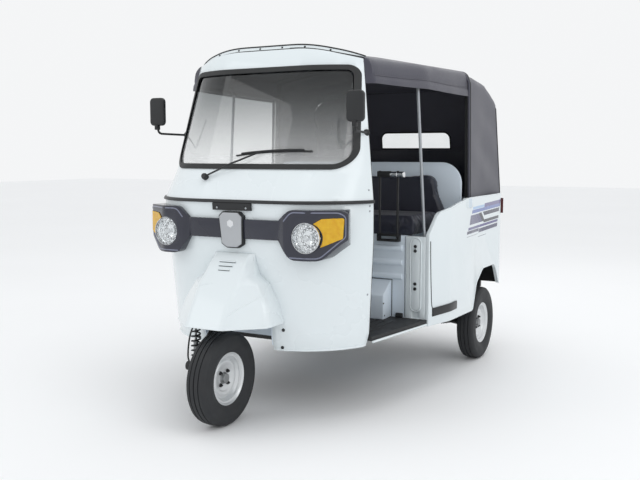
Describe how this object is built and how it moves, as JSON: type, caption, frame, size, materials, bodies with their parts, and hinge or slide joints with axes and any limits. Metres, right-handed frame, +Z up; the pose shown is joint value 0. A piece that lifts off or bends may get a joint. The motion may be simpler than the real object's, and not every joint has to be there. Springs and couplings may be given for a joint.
{
  "type": "auto rickshaw",
  "caption": "Three-wheeled auto rickshaw with a rounded driver's cab, open doorways, bench over the engine, and a cloth canopy and hood.",
  "frame": {"origin": "on the ground under the middle of the vehicle", "axes": "+X to the vehicle's left, -Y towards its nose, +Z up"},
  "size_m": [1.4878, 2.6024, 1.8975],
  "materials": {
    "body_paint": "gloss",
    "inner_paint": "satin",
    "chassis_paint": "satin",
    "canopy_cloth": "matt",
    "seat_cloth": "satin",
    "floor_mat": "matt",
    "band_plastic": "gloss",
    "black_plastic": "matt",
    "emblem_plastic": "metallic",
    "lens_clear": "clear",
    "lens_amber": "clear",
    "lens_red": "clear",
    "window_glass": "clear",
    "window_film": "clear film",
    "seal_rubber": "matt",
    "tyre_rubber": "matt",
    "wheel_silver": "satin",
    "bright_steel": "bright",
    "engine_alloy": "cast",
    "spring_steel": "gloss"
  },
  "bodies": {
    "body": {"floor_pan": "floor_mat", "chassis_frame": "chassis_paint", "front_cowl": "body_paint", "wheelhouse": "inner_paint", "windscreen_glass": "window_glass", "windscreen_seal": "seal_rubber", "waist_trim": "black_plastic", "plate_bracket": "black_plastic", "dashboard": "black_plastic", "lamp_band": "band_plastic", "headlamps": "lens_clear", "indicators": "lens_amber", "nose_emblem": "emblem_plastic", "front_mudguard": "body_paint", "body_side_left": "body_paint", "body_side_right": "body_paint", "rear_panel": "body_paint", "tail_lamps": "lens_red", "side_guards": "black_plastic", "bulkhead": "inner_paint", "door_jambs": "inner_paint", "wheel_wells": "chassis_paint", "bench_cushion": "seat_cloth", "bench_backrest": "seat_cloth", "seat_back_panel": "inner_paint", "driver_seat_base": "chassis_paint", "driver_cushion": "seat_cloth", "driver_backrest": "seat_cloth", "step_box": "inner_paint", "grab_frames": "bright_steel", "canopy_main": "canopy_cloth", "roof_clamp_strip": "body_paint", "canopy_frame": "chassis_paint", "side_posts": "chassis_paint", "canopy_rear": "canopy_cloth", "rear_window": "window_film", "rear_arms": "chassis_paint", "rear_springs": "spring_steel", "engine_block": "engine_alloy", "exhaust": "chassis_paint", "rear_bumper": "chassis_paint", "mirrors": "black_plastic", "wiper": "black_plastic"},
    "steering": {"steering_fork": "chassis_paint", "handlebar": "chassis_paint", "handlebar_grips": "black_plastic", "front_link": "chassis_paint", "front_spring": "spring_steel"},
    "front_wheel": {"front_wheel_tyre": "tyre_rubber", "front_wheel_rim": "wheel_silver"},
    "rear_wheel_left": {"rear_wheel_left_tyre": "tyre_rubber", "rear_wheel_left_rim": "wheel_silver"},
    "rear_wheel_right": {"rear_wheel_right_tyre": "tyre_rubber", "rear_wheel_right_rim": "wheel_silver"},
    "engine_lid": {"engine_lid": "body_paint"}
  },
  "joints": [
    {"name": "steering_turn", "type": "hinge", "parent": "body", "child": "steering", "pos_m": [0, -1.06875, 0.2325], "axis": [0, 0.4226, 0.9063], "range_deg": [-38, 38]},
    {"name": "front_wheel_spin", "type": "hinge", "parent": "steering", "child": "front_wheel", "pos_m": [0, -1.06875, 0.2325], "axis": [1, 0, 0], "continuous": true},
    {"name": "rear_wheel_left_spin", "type": "hinge", "parent": "body", "child": "rear_wheel_left", "pos_m": [0.666, 0.85125, 0.2325], "axis": [1, 0, 0], "continuous": true},
    {"name": "rear_wheel_right_spin", "type": "hinge", "parent": "body", "child": "rear_wheel_right", "pos_m": [-0.666, 0.85125, 0.2325], "axis": [1, 0, 0], "continuous": true},
    {"name": "engine_lid_hinge", "type": "hinge", "parent": "body", "child": "engine_lid", "pos_m": [0, 1.26075, 0.903], "axis": [1, 0, 0], "range_deg": [0, 85]}
  ]
}
